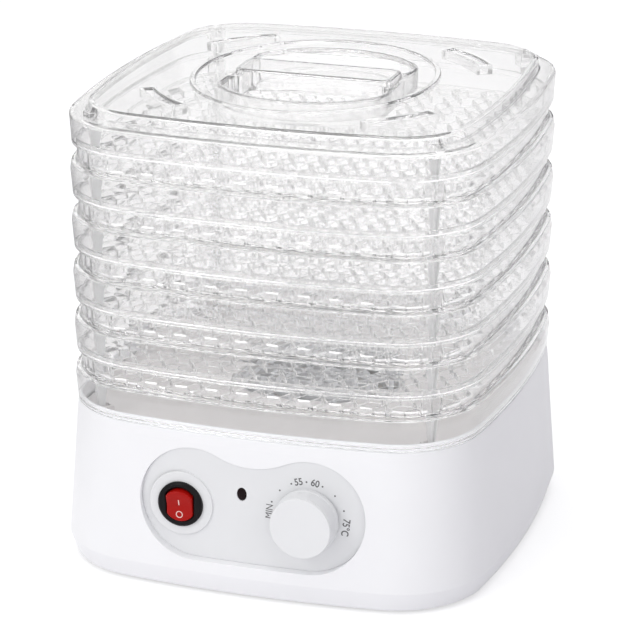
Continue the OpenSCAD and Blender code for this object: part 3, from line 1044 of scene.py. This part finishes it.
def bezel_mesh():
    """The switch's round body and its flange on the panel, with the rocker's opening."""
    flange_path = [
        (BEZEL_R, SWITCH_SEAT_H, 0),
        (BEZEL_R, 2.4, 0.6),
        (BEZEL_R - 1.2, 3.2, 0.6),
        (ROCKER_R + 0.2, 3.2, 0),
    ]
    body_r = ROCKER_R + 1.5
    profile = [(0, -17), (body_r, -17), (body_r, 1), *rounded(flange_path, closed=False), (0, 3.2)]
    flange = lathe("bezel", profile, 128)
    sizes = ((0.4, -20), (0.4, 2.2), (0.65, 2.85), (1.2, 3.25), (1.3, 5))
    opening = loft("opening", [ring_at(rocker_plan(grow), z) for grow, z in sizes])
    return combine(flange, "DIFFERENCE", opening)


def rocker_top(x, y):
    """The rocker's face: a shallow V whose valley runs across its middle."""
    return 3.6 + abs(y) * math.tan(ROCKER_TIP)


def rocker_mesh():
    """The rocker about its pivot: a key with eased edges and a shallow V for its face."""
    radius, steps = 1.1, 5
    rings = [ring_at(rocker_plan(0), -6)]
    for k in range(steps + 1):
        a = math.pi / 2 * k / steps
        inset, drop_z = radius * (1 - math.cos(a)), radius * (1 - math.sin(a))
        plan = rocker_plan(-inset)
        rings.append([(p[0], p[1], rocker_top(p[0], p[1]) - drop_z) for p in plan])
    for scale in (0.75, 0.5, 0.25, 0.02):
        rings.append([(p[0] * scale, p[1] * scale, rocker_top(0, p[1] * scale)) for p in plan])
    return loft("rocker", rings)


bezel = place(bezel_mesh(), on_front(*SWITCH))
piece(bezel, "switch_bezel_ring", "base", "bezel_black", "switch_bezel")
tipped = on_front(*SWITCH) @ Matrix.Rotation(ROCKER_TIP, 4, "X")
rocker = place(rocker_mesh(), tipped)
piece(rocker, "rocker_key", "rocker", "rocker_red", "switch_rocker", angle=50)


def follow(obj, height, lift):
    """Lays a flat shape on a surface: moves each point to height(x, y) plus its own lift."""
    for v in obj.data.vertices:
        v.co.z = v.co.z + (height(v.co.x / MM, v.co.y / MM) + lift) * MM
    return obj


on_mark = box("on", [(0.28, 1.8, 0), (0.26, 1.75, MARK_T)], 0.2)
off_mark = tube("off", [(1.5, 0), (2.05, 0), (2.0, MARK_T), (1.55, MARK_T)], 48)
for name, mark, y in (("switch_on_mark", on_mark, 2.3), ("switch_off_mark", off_mark, -5.0)):
    place(mark, Matrix.Translation((0, y * MM, 0)))
    place(follow(mark, rocker_top, -0.03), tipped)
    piece(mark, name, "rocker", "rocker_red", finish="switch_ink")

dome = [math.radians(d) for d in (0, 15, 30, 45, 60, 75, 86)]
lens_profile = [
    (0, -6), (2.7, -6), (2.7, 0.2),
    *((3.1 * math.cos(a), 0.2 + 0.9 * math.sin(a)) for a in dome),
    (0, 1.1),
]
lens = place(lathe("lens", lens_profile, 64), on_front(*LED, -PANEL_HALF + 0.4) @ LENS_SHAPE)
piece(lens, "power_lamp_lens", "base", "lens_dark_red", "indicator_lens")

# up the knob's skirt and side, past the fine groove near its face
knob_side = [
    (KNOB_R + 0.5, 1.7, 0),
    (KNOB_R + 0.6, 4, 0.5),
    (KNOB_R + 0.3, 4.3, 0.2),
    (KNOB_R + 0.05, KNOB_REACH - 1.75, 0),
    (KNOB_R - 0.25, KNOB_REACH - 1.6, 0),
    (KNOB_R - 0.25, KNOB_REACH - 1.35, 0),
    (KNOB_R, KNOB_REACH - 1.2, 0),
    (KNOB_R - 0.05, KNOB_REACH, 0.8),
    (KNOB_R - 4, KNOB_REACH, 0),
]
knob_profile = [
    (0, 3.6), (KNOB_R - 3, 3.6), (KNOB_R - 2, 1.7),
    *rounded(knob_side, closed=False),
    (0, KNOB_REACH),
]
knob = place(lathe("knob", knob_profile, 160), on_front(*KNOB))
piece(knob, "thermostat_dial_knob", "dial", "knob_white", "thermostat_knob")


# ---- the dial's scale


def printed(name, flat):
    """Lays a flat mark, drawn about the scale's middle, on the bowed panel."""
    mesh = flat.data
    cx, cz = SCALE_MIDDLE
    for v in mesh.vertices:
        x, z = v.co.x / MM + cx, v.co.y / MM + cz
        v.co = Vector((x, panel_surface(x, z) - v.co.z / MM, z)) * MM
    piece(flat, name, "base", "panel_grey", finish="dial_ink")


def dial_text(name, text, angle, bold):
    """Text with its foot towards the scale's middle, angle degrees clockwise from the top."""
    curve = bpy.data.curves.new(name, "FONT")
    curve.body, curve.size = text, TEXT_SIZE * MM
    curve.align_x, curve.align_y = "CENTER", "CENTER"
    curve.extrude, curve.offset = INK_T * MM / 2, bold * MM
    source = bpy.data.objects.new(name, curve)
    scene.collection.objects.link(source)
    bpy.context.view_layer.update()
    done = source.evaluated_get(bpy.context.evaluated_depsgraph_get())
    mesh = bpy.data.meshes.new_from_object(done)
    bpy.data.objects.remove(source)
    bm = bmesh.new()
    bm.from_mesh(mesh)
    bmesh.ops.remove_doubles(bm, verts=bm.verts, dist=1e-7)
    bm.to_mesh(mesh)
    bm.free()
    turn = Matrix.Rotation(-math.radians(angle), 4, "Z")
    out = Matrix.Translation((0, SCALE_R * MM, INK_T * MM / 2))
    mesh.transform(turn @ out @ Matrix.Diagonal((TEXT_WIDTH, 1, 1, 1)))
    flat = bpy.data.objects.new(name, mesh)
    scene.collection.objects.link(flat)
    printed(name, flat)


# a bold M fills in, so MIN stays thin
dial_text("dial_text_min", "MIN", -85, 0)
dial_text("dial_text_55", "55", -13, TEXT_BOLD)
dial_text("dial_text_60", "60", 12, TEXT_BOLD)
dial_text("dial_text_75", "75°C", 98, TEXT_BOLD)
for k, angle in enumerate((-106, -69, -46, -24.5, -1, 23.5, 46, 72)):
    a = math.radians(angle)
    dot = lathe(f"dot_{k}", [(0, 0), (DOT_R, 0), (DOT_R, INK_T), (0, INK_T)], 24)
    place(dot, Matrix.Translation((SCALE_R * math.sin(a) * MM, SCALE_R * math.cos(a) * MM, 0)))
    printed(f"dial_dot_{k + 1}", dot)


# ---- floor, world, lamps and camera, in metres except for the floor's corners

FLOOR_REACH = 9000

# where gloss sees the floor darken, as black flags beside the object would make it:
# the x where that starts and where it is full, and how dark it is
FLAGS = ((-0.15, -0.50, 0.75), (0.45, 0.90, 0.5))

# the way to the pale side of the studio that lights the object
PALE_SIDE = (-0.82, -0.38, 0.42)


def studio_floor(floor):
    """The floor's material. It keeps the object's shadow, and yet it shows as white.

    That goes for what the camera sees straight on, through clear plastic and in gloss,
    apart from the flags, which only gloss sees.
    """
    n = Material("studio_floor")
    n.set(Roughness=0.9, Specular_IOR_Level=0.0)
    seen = n.add("ShaderNodeLightPath")
    gloss, through = seen.outputs["Is Glossy Ray"], seen.outputs["Is Transmission Ray"]
    shown = n.math("MAXIMUM", n.math("MAXIMUM", seen.outputs["Is Camera Ray"], through), gloss)
    lie = n.add("ShaderNodeNewGeometry")
    parts = n.add("ShaderNodeSeparateXYZ")
    n.link(lie.outputs["Position"], parts.inputs[0])
    x = parts.outputs["X"]
    left, right = (n.spread(x, 0, dark, near, far, "SMOOTHSTEP") for near, far, dark in FLAGS)
    mirrored = n.math("MAXIMUM", n.math("SUBTRACT", gloss, through), 0)
    dim = n.math("MULTIPLY", n.math("MAXIMUM", left, right), mirrored)
    tone = n.mix((0.85, 0.845, 0.87), (0.60, 0.60, 0.61), shown)
    n.link(n.mix(tone, (0.15, 0.15, 0.16), dim), n.shader.inputs["Base Color"])
    glow = n.add("ShaderNodeEmission")
    glow.inputs["Color"].default_value = (1, 1, 1, 1)
    lit = n.math("MULTIPLY", shown, n.math("SUBTRACT", 1, dim))
    n.link(n.math("MULTIPLY", lit, 0.55), glow.inputs["Strength"])
    both = n.add("ShaderNodeAddShader")
    n.link(n.shader.outputs["BSDF"], both.inputs[0])
    n.link(glow.outputs["Emission"], both.inputs[1])
    n.link(both.outputs["Shader"], n.out.inputs["Surface"])
    floor.data.materials.append(n.mat)


def studio_world():
    """A dome that is pale on one side and dark on the other, and shows as white."""
    world = bpy.data.worlds.new("studio")
    scene.world = world
    world.use_nodes = True
    n = Tree(world.node_tree)
    sky = n.tree.nodes["Background"]
    toward = n.add("ShaderNodeVectorMath", operation="DOT_PRODUCT")
    toward.inputs[1].default_value = PALE_SIDE
    n.link(n.add("ShaderNodeTexCoord").outputs["Generated"], toward.inputs[0])
    fade = n.spread(toward.outputs["Value"], 0, 1, -0.55, 0.25, "SMOOTHSTEP")
    dome = n.mix((0.065, 0.055, 0.085), (0.89, 0.89, 0.885), fade)
    seen = n.add("ShaderNodeLightPath")
    shown = n.math("MAXIMUM", seen.outputs["Is Camera Ray"], seen.outputs["Is Transmission Ray"])
    n.link(n.mix(dome, (1, 1, 1), shown), sky.inputs["Color"])
    sky.inputs["Strength"].default_value = 1.0


def lamp(name, at, size, watts):
    """A square lamp aimed at the middle of the object's lower half."""
    data = bpy.data.lights.new(name, "AREA")
    data.size, data.energy = size, watts
    obj = bpy.data.objects.new(name, data)
    scene.collection.objects.link(obj)
    obj.location = at
    obj.rotation_euler = (Vector((0, 0, 0.1)) - Vector(at)).to_track_quat("-Z", "Y").to_euler()


reach = FLOOR_REACH
corners = [(-reach, -reach, 0), (reach, -reach, 0), (reach, reach, 0), (-reach, reach, 0)]
floor = make("floor", corners, [(0, 1, 2, 3)])
studio_floor(floor)
studio_world()
lamp("key", (-0.9, -1.9, 1.35), size=0.7, watts=8)
lamp("fill", (1.5, -1.6, 0.9), size=1.8, watts=10)
lamp("top", (0.2, 0.3, 1.9), size=1.6, watts=7)

# the camera, as fitted to the outlines in the photo
AZIMUTH, ELEVATION = math.radians(18.308), math.radians(19.328)
TARGET = Vector((-0.00201, 0, 0.12417))
DISTANCE = 1.72983
camera_data = bpy.data.cameras.new("camera")
camera_data.sensor_width, camera_data.lens = 36, 172.1
camera_data.clip_end = 60
camera = bpy.data.objects.new("camera", camera_data)
scene.collection.objects.link(camera)
scene.camera = camera
back = Vector(
    (
        math.sin(AZIMUTH) * math.cos(ELEVATION),
        -math.cos(AZIMUTH) * math.cos(ELEVATION),
        math.sin(ELEVATION),
    )
)
camera.location = TARGET + back * DISTANCE
camera.rotation_euler = (-back).to_track_quat("-Z", "Y").to_euler()

scene.view_settings.view_transform = "Standard"
scene.cycles.max_bounces = 48
scene.cycles.transmission_bounces = 48
scene.cycles.transparent_max_bounces = 64
scene.cycles.glossy_bounces = 12
